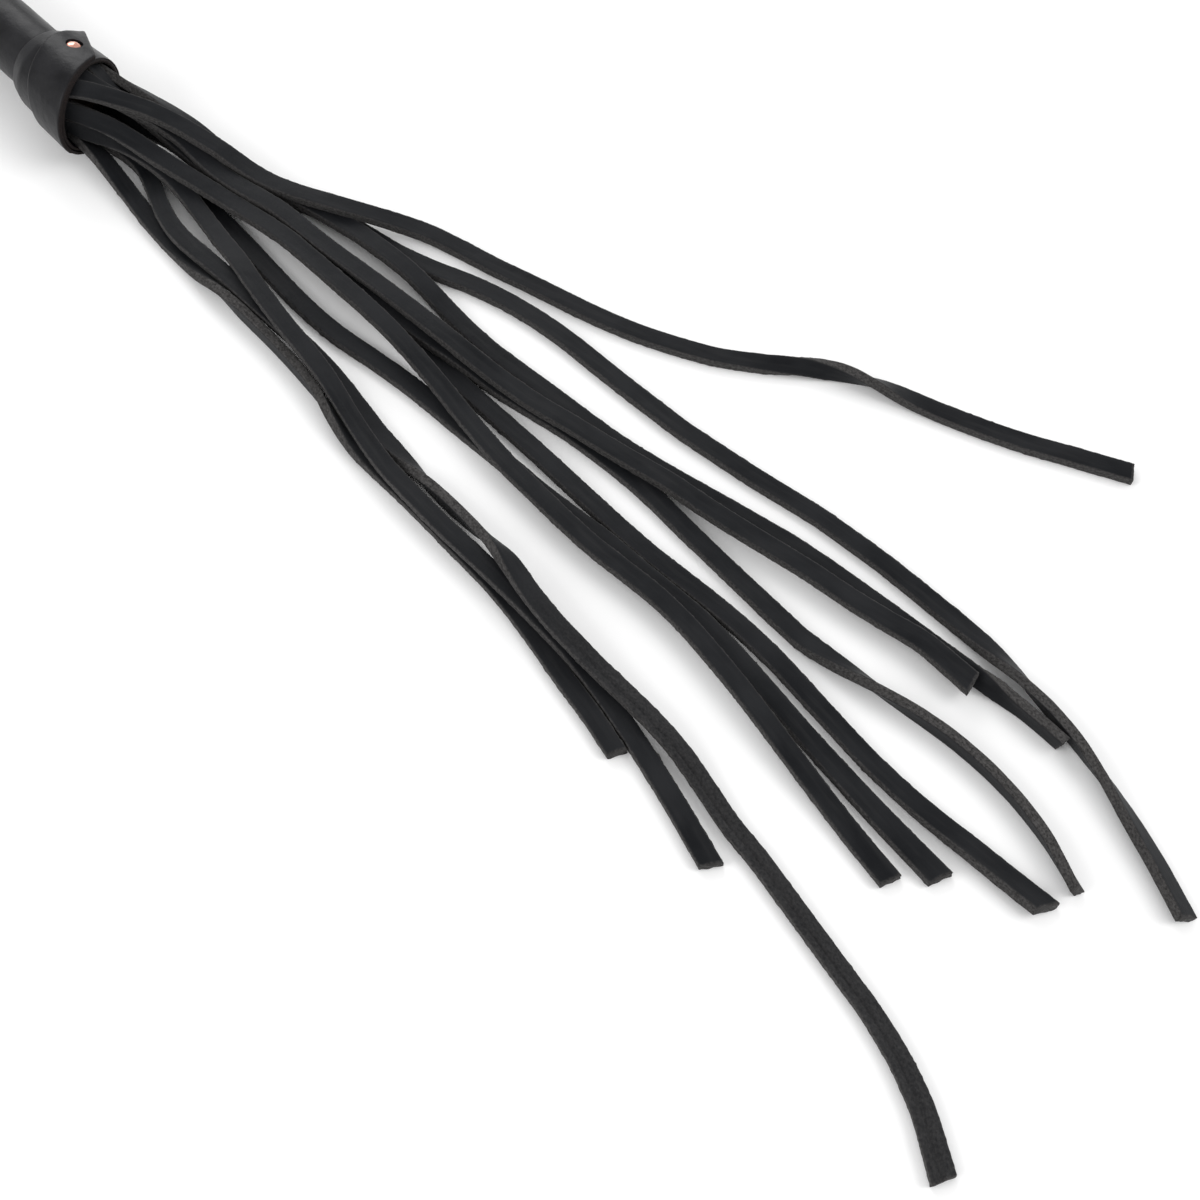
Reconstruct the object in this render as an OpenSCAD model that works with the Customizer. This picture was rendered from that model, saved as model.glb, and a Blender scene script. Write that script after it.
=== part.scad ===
// Riding crop with a bunch of leather falls: a round leather covered handle, a wrapped
// collar with a small rivet, eleven square cut leather falls lying loose on the floor,
// and a wrist strap that swings on a pin in the butt cap. Millimetres.
// +X runs along the handle from the wrist strap towards the falls, +Z is up, and the crop
// lies on the floor z = 0. The falls' routes are written from the middle of the collar's
// mouth: x along the handle, y sideways, z above the floor, and the strip's roll in degrees.

/* [Handle] */
// Height of the handle's axis above the floor
axis_z = 13; // [13:0.5:16]
// Radius of the wooden core
core_r = 7.8; // [7.8:0.1:8]
// Outside radius of the leather cover
cover_r = 9; // [8.8:0.1:9.4]
// Distance from the collar's mouth back to the end of the core
core_back = 286; // [220:1:330]
// Outside radius of the wrapped grip
grip_r = 10.6; // [10:0.1:11.4]
// Number of turns of the grip lace
grip_turns = 22; // [16:1:26]

/* [Collar] */
// Inside radius of the collar at its narrow end
collar_in_r = 9.1; // [9.05:0.05:9.15]
// Outside radius of the collar at its lip
collar_lip_r = 13; // [12.6:0.1:13]
// Thickness of the collar's first wrap of leather
wrap_1 = 0.9; // [0.7:0.05:1]

/* [Falls] */
// Width of each fall
fall_w = 4.5; // [3.5:0.1:4.6]
// Thickness of each fall
fall_t = 2.4; // [1.8:0.1:2.4]
// Thickness of each fall where it is pared down to fit under the collar
root_t = 1.6; // [1.2:0.1:1.7]
// Radius of the ring of roots under the collar, to the middle of the leather
root_ring_r = 8.65; // [8.6:0.05:8.7]
// Bevel on the long edges of each fall
fall_edge = 0.5; // [0.2:0.1:0.7]

/* [Wrist strap] */
// Thickness of the strap
strap_t = 1.8; // [1.4:0.1:2]
// Width of the strap
strap_w = 9.2; // [7:0.1:9.4]
// Radius of the loop's round end, to the middle of the leather
loop_r = 22.5; // [18:0.5:28]
// Distance from the pin to the middle of the loop's round end
loop_reach = 161; // [140:1:200]
// Radius of the strap's pin
pin_r = 1.5; // [1.2:0.1:1.8]

/* [Hidden] */
$fn = 96;
pin_x = -(core_back + 13);
cap_back = -(core_back + 20);
loop_x = pin_x - loop_reach;
fork_x = -352;
fork_a = asin(loop_r / (fork_x - loop_x));
// The handle and strap are centred on the origin: the mouth of the collar is this far along +X.
mouth_x = 237.6;

// ---- the falls' routes ----
// The ring of roots under the collar has eleven places, counted from the top towards +Y.
function root(place) = let(a = place * 360 / 11)
    [for (x = [-15.3, -10]) [x, root_ring_r * sin(a), axis_z + root_ring_r * cos(a), -a]];

fall_01_route = concat(root(-1), [
    [0, -5, 20.7, 33], [3, -4.2, 21.7, 30], [6, -2, 22.2, 25], [12, 3.2, 19.5, 15], [18, 8.4, 16.3, 8],
    [25, 12.8, 12.5, 3], [32, 15, 10.6, 0], [36, 16.2, 9.9, 0], [40, 17, 8.9, 0], [46, 18.2, 7.6, 0],
    [52, 19.6, 7, 0], [60, 22.6, 6.9, 0], [70, 27.6, 6.7, 0], [80, 34, 4.8, 0], [90, 40.6, 2, 0],
    [100, 43.6, 1.3, 0], [110, 45.7, 1.3, 0], [120, 48.5, 1.3, 0], [130, 51, 1.3, 0], [140, 53.6, 1.3, 0],
    [150, 56.8, 1.3, 0], [160, 61, 1.3, 0], [170, 66, 1.3, 0], [180, 73, 1.6, 10], [188, 79.4, 2.5, 45],
    [196, 84.8, 2.6, 90], [204, 88.2, 2.5, 135], [212, 90.8, 1.6, 170], [220, 93.4, 1.3, 180],
    [230, 97, 1.3, 180], [240, 101.2, 1.3, 180], [250, 106.2, 1.3, 180], [264, 113, 1.3, 180]]);
fall_02_route = concat(root(3), [
    [0, 8.9, 11.7, -98.2], [3, 9.3, 11.3, -102], [12, 13.1, 7.9, -122], [25, 17.5, 4.4, -162],
    [32, 18, 2.4, -176], [40, 18.1, 1.4, -180], [50, 20.3, 1.3, -180], [60, 24.6, 1.3, -180],
    [70, 27.5, 1.3, -180], [80, 29.2, 1.3, -180], [90, 30.8, 1.3, -180], [100, 33.8, 1.3, -180],
    [110, 37.6, 1.3, -180], [120, 40.4, 1.3, -180], [130, 42.1, 1.3, -180], [140, 43, 1.3, -180],
    [160, 43.4, 1.3, -180], [180, 44.2, 1.3, -180], [200, 46.6, 1.3, -180], [220, 49.8, 1.3, -180],
    [240, 51.2, 1.3, -180], [260, 51.4, 1.3, -180], [270, 51, 2, -195], [280, 50.2, 2.6, -235],
    [290, 48.9, 2.6, -262], [300, 46.9, 2.6, -265], [310, 43.9, 2.6, -245], [320, 40.2, 2.5, -225],
    [330, 36.4, 2.4, -218], [342, 31, 2.3, -215]]);
fall_03_route = concat(root(2), [
    [0, 8.2, 16.8, -66], [3, 9.3, 15.8, -62], [6, 10.4, 14.7, -55], [12, 12.9, 12.5, -44], [18, 15, 10.6, -36],
    [25, 16.7, 8.6, -25], [32, 17.3, 6.6, -10], [40, 17.6, 4.5, 0], [50, 19.6, 4.1, 0], [60, 23.2, 4, 0],
    [70, 25.2, 4, 0], [80, 26.9, 4, 0], [90, 27.7, 4, 0], [97, 28, 3.9, 0], [105, 28, 2.7, 0],
    [112, 27.6, 1.5, 0], [120, 27, 1.3, 0], [130, 26.8, 1.3, 0], [140, 27.6, 1.3, 0], [150, 28.4, 1.3, 0],
    [160, 29, 1.3, 0], [170, 29.7, 1.3, 0], [180, 31.1, 1.3, 0], [190, 33, 1.3, 0], [200, 35.2, 1.3, 0],
    [210, 37.3, 1.3, 0], [220, 39.2, 1.3, 0], [230, 40.4, 1.3, 0], [240, 41.2, 1.3, 0], [250, 42.1, 1.3, 0],
    [260, 42.7, 1.3, 0], [270, 43.3, 1.6, 8], [277, 43.8, 2.4, 50], [284, 44.2, 2.6, 88], [290, 44.4, 2.6, 90],
    [298, 44.1, 2.6, 90]]);
fall_04_route = concat(root(0), [
    [0, 0, 21.8, 0], [3, 0.9, 20.9, 0], [6, 2.2, 19.1, 0], [12, 5.6, 15.8, 0], [18, 9.2, 12.5, 0],
    [25, 12, 9.1, 0], [32, 11.9, 7.8, 0], [40, 12.1, 6.9, 0], [50, 13.7, 6.8, 0], [60, 15.8, 6.8, 0],
    [80, 16.6, 6.7, 0], [100, 18.3, 6.7, 0], [120, 19.4, 6.7, 0], [126, 19.7, 6.5, 0], [133, 20.4, 5.4, 0],
    [140, 21.4, 4.3, 0], [150, 22.6, 4, 0], [160, 24.6, 4, 0], [170, 26.2, 4, 0], [180, 28, 4, 0],
    [190, 30, 4, 0], [200, 31, 4, 0], [210, 32.5, 4, 0], [220, 34.2, 4, 0], [230, 35.9, 4, 0], [240, 37, 4, 0],
    [250, 38.6, 4, 0], [260, 40.7, 4, 0], [275, 40.4, 4, 0]]);
fall_05_route = concat(root(1), [
    [0, 4.9, 20.4, -33], [3, 5.3, 18.2, -31], [6, 6.2, 14.6, -22], [12, 8.2, 11.8, -10], [18, 9.8, 9.2, -4],
    [25, 11, 6.2, 0], [40, 12.6, 4.2, 0], [50, 13.8, 4.1, 0], [60, 15, 4, 0], [80, 15.5, 4, 0],
    [100, 15.8, 4, 0], [110, 16.3, 4, 0], [120, 17.4, 4, 0], [125, 18.2, 3.9, 0], [131, 19.3, 2.7, 0],
    [138, 20.3, 1.3, 0], [150, 22.2, 1.3, 0], [160, 24, 1.3, 0], [170, 24.9, 1.3, 0], [180, 25.5, 1.3, 0],
    [190, 25.3, 1.3, 0], [200, 24.5, 1.3, 0], [220, 23.4, 1.3, 0], [240, 22.4, 1.3, 0], [250, 23.3, 2.2, -30],
    [260, 24.8, 2.6, -65], [270, 26.5, 2.6, -85], [280, 27.6, 2.6, -90], [290, 27.6, 2.6, -88],
    [300, 26.5, 2.6, -85], [310, 24.2, 2.6, -80], [322, 19.3, 2.6, -65]]);
fall_06_route = concat(root(4), [
    [0, 6.8, 7.1, -130.9], [4, 7, 6.9, -134], [12, 8.9, 4.6, -155], [18, 11.4, 3.6, -168],
    [25, 12.9, 2.8, -177], [40, 13.3, 1.4, -180], [60, 14.2, 1.3, -180], [80, 14.6, 1.3, -180],
    [100, 14.8, 1.3, -180], [120, 14.6, 1.3, -180], [140, 14.4, 1.3, -180], [160, 14.3, 1.3, -180],
    [180, 13.7, 1.3, -180], [190, 13.5, 1.3, -180], [200, 13.5, 1.3, -180], [210, 14.1, 1.3, -180],
    [220, 14.7, 1.3, -180], [230, 14.8, 1.3, -180], [240, 14.3, 1.3, -180], [250, 13.1, 1.3, -180],
    [260, 11.9, 1.3, -180], [270, 10.8, 1.3, -180], [280, 10.2, 1.5, -184], [290, 10.2, 1.7, -190],
    [300, 10.8, 1.8, -196], [310, 11.2, 1.9, -202], [320, 11.8, 2, -205]]);
fall_07_route = concat(root(-2), [
    [0, -8.2, 16.7, 65.5], [6, -5, 15.6, 50], [12, -1, 12.9, 32], [18, 1, 11.3, 18], [25, 2.6, 9.7, 8],
    [32, 4.6, 7.8, 0], [40, 6.5, 6.9, 0], [45, 7.7, 6.2, 0], [50, 8.7, 5.8, 0], [60, 10.2, 6.2, 0],
    [70, 11.2, 6.7, 0], [80, 11.3, 6.7, 0], [100, 11.4, 6.7, 0], [110, 11, 6.7, 0], [120, 10.2, 6.2, 0],
    [130, 9.2, 5.2, 0], [140, 7.8, 4.3, 0], [150, 6.4, 4.1, 0], [160, 5.4, 4, 0], [170, 5, 4, 0],
    [180, 4.5, 4, 0], [190, 4.4, 4, 0], [200, 5.1, 4, 0], [210, 5.7, 4, 0], [220, 5.2, 4, 0], [230, 3.8, 4, 0],
    [240, 2.2, 4, 0], [250, 0.3, 3.7, 0], [260, -1.6, 3, 0], [270, -3.3, 2, 0], [280, -5, 1.4, 0],
    [293, -7, 1.3, 0]]);
fall_08_route = concat(root(5), [
    [0, 2.5, 4.4, -163.6], [6, 2.8, 5.1, -172], [12, 3.9, 5.2, -176], [18, 4.3, 4.6, -180],
    [25, 4.8, 3.8, -180], [32, 5, 2.4, -180], [40, 5, 1.6, -180], [50, 4.9, 1.3, -180], [60, 4.3, 1.3, -180],
    [70, 3.4, 1.3, -180], [80, 2.6, 1.3, -180], [90, 2.2, 1.3, -180], [100, 2.6, 1.3, -180],
    [110, 4, 1.3, -180], [120, 5.1, 1.3, -180], [130, 5.8, 1.3, -180], [140, 6, 1.3, -180],
    [150, 6.4, 1.3, -180], [160, 6.8, 1.3, -180], [170, 7, 1.3, -180], [180, 7.8, 1.3, -180],
    [190, 8.7, 1.3, -180], [200, 8.8, 1.3, -180], [210, 9.3, 1.3, -180], [220, 9.6, 1.3, -180],
    [230, 8.8, 1.3, -180], [240, 7.5, 1.3, -180], [260, 4.8, 1.3, -180], [280, 2.6, 1.3, -180],
    [300, 1, 1.3, -180]]);
fall_09_route = concat(root(-3), [
    [0, -9, 12, 98.2], [6, -5.6, 10, 70], [12, -1.6, 8.5, 40], [18, 0.8, 7.8, 20], [25, 2.4, 6.8, 6],
    [32, 3.2, 5.2, 0], [40, 2.4, 4.4, 0], [50, 0.7, 4.2, 0], [60, -1.2, 5.2, 0], [66, -2.2, 6.4, 0],
    [72, -3.6, 6.8, 0], [80, -5.2, 6.8, 0], [90, -6.9, 6.7, 0], [100, -8, 6.2, 0], [110, -9.5, 5.7, 0],
    [120, -11.9, 4.6, 0], [130, -14.2, 4, 0], [140, -16, 4, 0], [150, -16.6, 4, 0], [160, -17.1, 4, 0],
    [180, -17.3, 4, 0], [190, -17.6, 4, 0], [200, -18.1, 4, 0], [206, -18.3, 3.5, 0], [212, -18.9, 2.1, 0],
    [220, -20.3, 1.4, 0], [230, -22.5, 1.3, 0], [240, -25, 1.3, 0], [250, -27.8, 1.3, 0], [264, -32, 1.3, 0]]);
fall_10_route = concat(root(-5), [
    [0, -2.5, 4.4, 163.6], [6, -1.3, 3.4, 168], [12, 1, 2.4, 176], [18, 1.8, 1.6, 180], [22, 1.2, 1.5, 180],
    [26, -0.3, 1.7, 180], [30, -1.9, 2.6, 180], [35, -4, 3.8, 180], [40, -5.8, 4, 180], [46, -7.1, 4, 180],
    [52, -7.3, 4, 180], [60, -6.9, 4, 180], [70, -6.7, 4, 180], [80, -6.8, 4, 180], [90, -6.7, 4, 180],
    [100, -6.4, 3.4, 180], [110, -6.9, 2.2, 180], [120, -8.3, 1.3, 180], [130, -10, 1.3, 180],
    [140, -10.9, 2.2, 145], [150, -11.3, 2.7, 95], [158, -11.5, 2.8, 90], [166, -11.9, 3.8, 98],
    [174, -12.5, 5.6, 120], [181, -13.8, 6.9, 160], [190, -15.9, 7, 180], [200, -17.2, 6.7, 180],
    [206, -17.4, 6.2, 180], [212, -17.4, 5, 180], [220, -17.3, 4.2, 180], [230, -17.4, 4, 180],
    [240, -18, 3, 180], [250, -19.9, 1.8, 180], [260, -22.3, 1.3, 180], [270, -23.6, 1.3, 180],
    [290, -27.6, 1.3, 180], [310, -31.5, 1.3, 180], [320, -34.5, 1.3, 180], [330, -38.8, 1.3, 180],
    [342, -46.5, 1.3, 180]]);
fall_11_route = concat(root(-4), [
    [0, -6.8, 7.1, 130.9], [6, -6, 5.6, 146], [12, -5.6, 4.3, 158], [18, -6.2, 3.1, 168], [25, -7, 2.2, 176],
    [33, -8.1, 1.5, 180], [40, -9, 1.3, 180], [50, -9.6, 1.3, 180], [60, -10.2, 2.1, 155],
    [68, -10.3, 2.6, 115], [76, -10.5, 2.6, 92], [90, -11, 2.6, 90], [100, -11.7, 2.6, 90],
    [110, -13, 2.7, 95], [120, -15.3, 2.5, 130], [130, -16.7, 1.7, 165], [140, -16.6, 1.3, 180],
    [150, -16.8, 1.3, 180], [160, -17.2, 1.3, 180], [180, -18.2, 1.3, 180], [190, -19.6, 1.3, 180],
    [200, -21.5, 1.3, 180], [206, -22.9, 1.3, 180], [212, -24, 1.3, 180], [220, -25.4, 1.3, 180],
    [231, -28, 1.3, 180]]);

// ---- helpers ----
function unit(v) = v / norm(v);
function xyz(p) = [p[0], p[1], p[2]];
function tangent(p, i) = unit(xyz(p[min(i + 1, len(p) - 1)]) - xyz(p[max(i - 1, 0)]));
function section(w, t, c) = [[w / 2, t / 2 - c], [w / 2 - c, t / 2], [c - w / 2, t / 2],
    [-w / 2, t / 2 - c], [-w / 2, c - t / 2], [c - w / 2, -t / 2], [w / 2 - c, -t / 2],
    [w / 2, c - t / 2]];
function ring(p, i) = let(
        t = tangent(p, i), s0 = unit(cross([0, 0, 1], t)), n0 = cross(t, s0), a = p[i][3],
        s = cos(a) * s0 + sin(a) * n0, n = cos(a) * n0 - sin(a) * s0,
        th = p[i][0] <= -10 ? root_t : fall_t)
    [for (q = section(fall_w, th, fall_edge)) xyz(p[i]) + q[0] * s + q[1] * n];

// One fall: an eight sided strip swept along its route, with square cut ends.
module fall(p) {
    n = len(p);
    pts = [for (i = [0:n - 1]) each ring(p, i)];
    sides = [for (i = [0:n - 2], j = [0:7])
        let(a = i * 8 + j, b = i * 8 + (j + 1) % 8)
        each [[a, a + 8, b + 8], [a, b + 8, b]]];
    color([0.10, 0.10, 0.11]) translate([mouth_x, 0, 0])
    polyhedron(points = pts, faces = concat([[for (j = [0:7]) j]], sides,
        [[for (j = [7:-1:0]) (n - 1) * 8 + j]]), convexity = 12);
}

// Turns a profile of [x along the handle, radius] points about the handle's axis.
module turned(profile) {
    translate([mouth_x, 0, axis_z]) rotate([0, 90, 0]) rotate_extrude()
        polygon([for (p = profile) [p[1], p[0]]]);
}

// Puts something on the handle's axis, x counted from the collar's mouth.
module on_axis(x) { translate([mouth_x + x, 0, axis_z]) children(); }

// ---- handle ----
module core_rod() {
    color([0.72, 0.55, 0.36]) on_axis(-core_back) rotate([0, 90, 0]) cylinder(r = core_r, h = core_back - 3);
}

module handle_cover() {
    // A leather tube with a shallow seam groove along its underside for the stitches.
    color([0.08, 0.08, 0.085]) difference() {
        turned([[-276, core_r], [-276, cover_r], [-15.5, cover_r], [-15.5, core_r]]);
        on_axis(-141) translate([0, 0, -cover_r - 0.3]) rotate([0, 90, 0]) cylinder(r = 0.9, h = 110, $fn = 24);
    }
}

module cover_stitches() {
    color([0.16, 0.15, 0.14]) for (i = [0:14])
        on_axis(-138 + i * 7) translate([0, 0, 0.25 - cover_r]) rotate([0, 90, 0])
            cylinder(r = 0.25, h = 4.6, $fn = 16);
}

module grip_wrap() {
    // Leather lace wound close round the grip, one rounded ridge to each turn.
    pitch = 112 / grip_turns;
    color([0.09, 0.09, 0.095]) turned(concat([[-262, cover_r]],
        [for (i = [0:grip_turns - 1]) let(x = -262 + i * pitch)
            each [[x, grip_r - 0.6], [x + 0.9, grip_r], [x + pitch - 0.9, grip_r], [x + pitch - 0.02, grip_r - 0.6]]],
        [[-150, grip_r - 0.6], [-150, cover_r]]));
}

module grip_band(x) {
    color([0.06, 0.06, 0.065]) difference() {
        turned([[x, cover_r], [x, 10.6], [x + 0.5, 11.1], [x + 7.5, 11.1], [x + 8, 10.6], [x + 8, cover_r]]);
        on_axis(x + 4) cylinder(r = 0.8, h = 14, $fn = 24);
    }
}
module grip_band_front() { grip_band(-150); }
module grip_band_rear() { grip_band(-270); }

module band_tacks() {
    // A domed brass tack through each grip band.
    color([0.72, 0.55, 0.25]) for (x = [-266, -146]) on_axis(x) {
        translate([0, 0, cover_r]) cylinder(r = 0.8, h = 2.2, $fn = 24);
        intersection() {
            translate([0, 0, 8.4]) sphere(r = 3.6, $fn = 48);
            translate([0, 0, 11.12]) cylinder(r = 2.2, h = 2);
        }
    }
}

module butt_cap() {
    // Turned wooden knob, bored for the core, with a slot across its end for the strap.
    color([0.10, 0.07, 0.05]) difference() {
        turned([[-276, 0], [-276, 10.4], [-280, 11.6], [-285, 13], [-300, 13], [-303.5, 12.2],
            [-305.4, 10.6], [cap_back, 8.8], [cap_back, 0]]);
        on_axis(-core_back) rotate([0, 90, 0]) cylinder(r = core_r, h = 11);
        on_axis(cap_back - 1) translate([0, -15, -4.8]) cube([14, 30, 9.6]);
        on_axis(pin_x) translate([0, 0, -15]) cylinder(r = pin_r, h = 30, $fn = 48);
    }
}

module strap_pin() {
    color([0.75, 0.75, 0.76]) on_axis(pin_x) translate([0, 0, -12]) cylinder(r = pin_r, h = 24, $fn = 48);
}

// ---- collar and the roots of the falls ----
module root_binding() {
    // Waxed thread wound round the roots of the falls, hidden under the collar.
    color([0.16, 0.14, 0.12]) turned(concat([[-12.6, 9.62]],
        [for (i = [0:4]) each [[-12.6 + i * 0.5, 9.9], [-12.45 + i * 0.5, 10.06], [-12.25 + i * 0.5, 10.06]]],
        [[-10.1, 9.9], [-10.1, 9.62]]));
}

// Inside of the collar, distance along the axis and radius: tight on the cover, then opening
// over the roots of the falls.
collar_profile = [[-18, collar_in_r], [-13, 10.6], [-4, 11], [10, 11.35]];
function collar_in(x) = lookup(x, collar_profile);

// The slanted mouth of the collar: everything ahead of it is cut away.
module ahead_of_mouth() {
    on_axis(3.3) rotate([0, 0, 20.8]) translate([0, -30, -30]) cube([60, 60, 60]);
}

module front_collar() {
    // One strip of leather wrapped twice. The second wrap starts further forward and is cut
    // at a slant, and has a hole that shows the rivet's head.
    color([0.08, 0.08, 0.085]) difference() {
        union() {
            difference() {
                turned(concat([for (p = collar_profile) [p[0], p[1] + wrap_1]],
                    [for (i = [3:-1:0]) collar_profile[i]]));
                // narrow end
                on_axis(-17) rotate([0, -3, 0]) translate([-30, -30, -30]) cube([30, 60, 60]);
            }
            difference() {
                intersection() {
                    turned([[-18, collar_lip_r - 0.75], [2, collar_lip_r], [10, collar_lip_r], [10, 11.85],
                        [-4, 11.5], [-13, 11.1], [-18, collar_in_r + 0.5]]);
                    // rear edge of the second wrap
                    on_axis(-8.6) rotate([0, -16.1, 0]) rotate([0, 0, 16.8]) translate([0, -30, -30]) cube([60, 60, 60]);
                }
                // hole in the second wrap
                on_axis(-6.5) rotate([-23, 0, 0]) translate([0, 0, 11.8]) cylinder(r = 2.3, h = 4, $fn = 48);
                // step down where the strip's free end lies, slanted, on the far side
                on_axis(-6.7) rotate([-46, 0, 0]) translate([0, 0, 11.6]) rotate([0, -1, -24.6])
                    translate([-30, 0, 0]) cube([60, 20, 10]);
            }
        }
        ahead_of_mouth();
        on_axis(-6.5) rotate([-23, 0, 0]) cylinder(r = 0.9, h = 14, $fn = 32);
    }
}

module collar_rivet() {
    // Copper head seated in the hole of the second wrap, with a post through the first.
    color([0.80, 0.45, 0.30]) on_axis(-6.5) rotate([-23, 0, 0]) {
        translate([0, 0, 10.5]) cylinder(r = 0.9, h = 1.7, $fn = 32);
        intersection() {
            translate([0, 0, 9.8]) sphere(r = 3.1, $fn = 64);
            translate([0, 0, 11.9]) cylinder(r = 1.9, h = 2, $fn = 48);
        }
    }
}

module rivet_burr() {
    color([0.78, 0.48, 0.33]) on_axis(-6.5) rotate([-23, 0, 0]) difference() {
        translate([0, 0, 10.5]) cylinder(r = 1.5, h = 0.25, $fn = 48);
        translate([0, 0, 9]) cylinder(r = 0.9, h = 3, $fn = 32);
    }
}

// ---- falls, from the far side round to the near side ----
module fall_01() { fall(fall_01_route); }
module fall_02() { fall(fall_02_route); }
module fall_03() { fall(fall_03_route); }
module fall_04() { fall(fall_04_route); }
module fall_05() { fall(fall_05_route); }
module fall_06() { fall(fall_06_route); }
module fall_07() { fall(fall_07_route); }
module fall_08() { fall(fall_08_route); }
module fall_09() { fall(fall_09_route); }
module fall_10() { fall(fall_10_route); }
module fall_11() { fall(fall_11_route); }

// ---- wrist strap ----
module drop(r, off) {
    // A teardrop: a round end and two straight sides meeting at the fork.
    apex = fork_x + off / sin(fork_a);
    union() {
        translate([loop_x, 0]) circle(r = r + off, $fn = 128);
        polygon([[apex, 0], [loop_x + (r + off) * sin(fork_a), (r + off) * cos(fork_a)], [loop_x, 0],
            [loop_x + (r + off) * sin(fork_a), -(r + off) * cos(fork_a)]]);
    }
}

module wrist_strap() {
    eye_r = pin_r + 0.06;
    color([0.07, 0.07, 0.075]) on_axis(0) translate([0, 0, -strap_w / 2]) linear_extrude(height = strap_w)
    difference() {
        union() {
            translate([pin_x, 0]) circle(r = eye_r + strap_t, $fn = 64);
            translate([-362, -strap_t - 0.1]) square([362 + pin_x, 2 * strap_t + 0.2]);
            drop(loop_r, strap_t / 2);
        }
        translate([pin_x, 0]) circle(r = eye_r, $fn = 64);
        drop(loop_r, -strap_t / 2);
        translate([-362, -0.1]) square([50, 0.2]);
    }
}

module strap_keeper() {
    // A small leather band round both legs of the strap.
    h = strap_w / 2 + 0.05;
    w = strap_t + 0.15;
    color([0.06, 0.06, 0.065]) on_axis(-324) difference() {
        translate([0, -w - 1.3, -h - 1.3]) cube([8, 2 * w + 2.6, 2 * h + 2.6]);
        translate([-1, -w, -h]) cube([10, 2 * w, 2 * h]);
    }
}

core_rod();
handle_cover();
cover_stitches();
grip_wrap();
grip_band_front();
grip_band_rear();
band_tacks();
root_binding();
front_collar();
collar_rivet();
rivet_burr();
fall_01();
fall_02();
fall_03();
fall_04();
fall_05();
fall_06();
fall_07();
fall_08();
fall_09();
fall_10();
fall_11();
butt_cap();
strap_pin();
wrist_strap();
strap_keeper();
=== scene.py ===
"""Riding crop with eleven loose leather falls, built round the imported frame. Metres, +X along the handle."""
import math

import bmesh
import bpy
import numpy as np
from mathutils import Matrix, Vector, noise


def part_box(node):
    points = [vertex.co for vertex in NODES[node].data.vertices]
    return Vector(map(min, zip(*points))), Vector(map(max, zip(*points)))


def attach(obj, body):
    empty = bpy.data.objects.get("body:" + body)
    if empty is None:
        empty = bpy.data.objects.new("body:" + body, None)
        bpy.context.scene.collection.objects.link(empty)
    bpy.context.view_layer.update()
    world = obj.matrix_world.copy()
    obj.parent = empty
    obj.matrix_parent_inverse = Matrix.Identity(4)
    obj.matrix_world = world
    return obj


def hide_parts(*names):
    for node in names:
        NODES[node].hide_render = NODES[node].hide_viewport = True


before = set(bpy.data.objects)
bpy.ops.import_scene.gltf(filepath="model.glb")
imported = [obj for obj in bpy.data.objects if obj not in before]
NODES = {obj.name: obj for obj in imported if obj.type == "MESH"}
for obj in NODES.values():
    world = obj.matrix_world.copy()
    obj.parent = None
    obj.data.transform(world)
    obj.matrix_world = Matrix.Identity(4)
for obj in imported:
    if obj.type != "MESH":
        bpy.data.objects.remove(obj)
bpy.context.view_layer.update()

MM = 0.001

# ---- places taken from the frame ----
axis_z = sum(c.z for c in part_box("core_rod")) / 2
mouth_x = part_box("core_rod")[1].x + 3 * MM  # the middle of the collar's mouth
cover_r = (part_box("handle_cover")[1].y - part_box("handle_cover")[0].y) / 2
MOUTH = Vector((mouth_x, 0, axis_z))

# ---- camera: above the falls, looking back at the handle ----
camera = bpy.data.objects.new("camera", bpy.data.cameras.new("camera"))
bpy.context.scene.collection.objects.link(camera)
camera.location = (0.5958, -0.1561, 0.3820)
camera.rotation_euler = (math.radians(30), 0, math.radians(46))
camera.data.sensor_width = 36
camera.data.lens = 57
camera.data.clip_start = 0.01
bpy.context.scene.camera = camera

# ---- the falls' routes: x along the handle from the mouth, y, z above the floor (mm), roll (degrees) ----
ROOT_RING = 8.65  # radius of the ring of roots under the collar, mm


def root(place):
    """The first two points of a fall, at one of the ring's eleven places, counted from the top towards +Y."""
    a = math.radians(place * 360 / 11)
    y, z = ROOT_RING * math.sin(a), axis_z / MM + ROOT_RING * math.cos(a)
    return [(x, y, z, -math.degrees(a)) for x in (-15.3, -10)]


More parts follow.
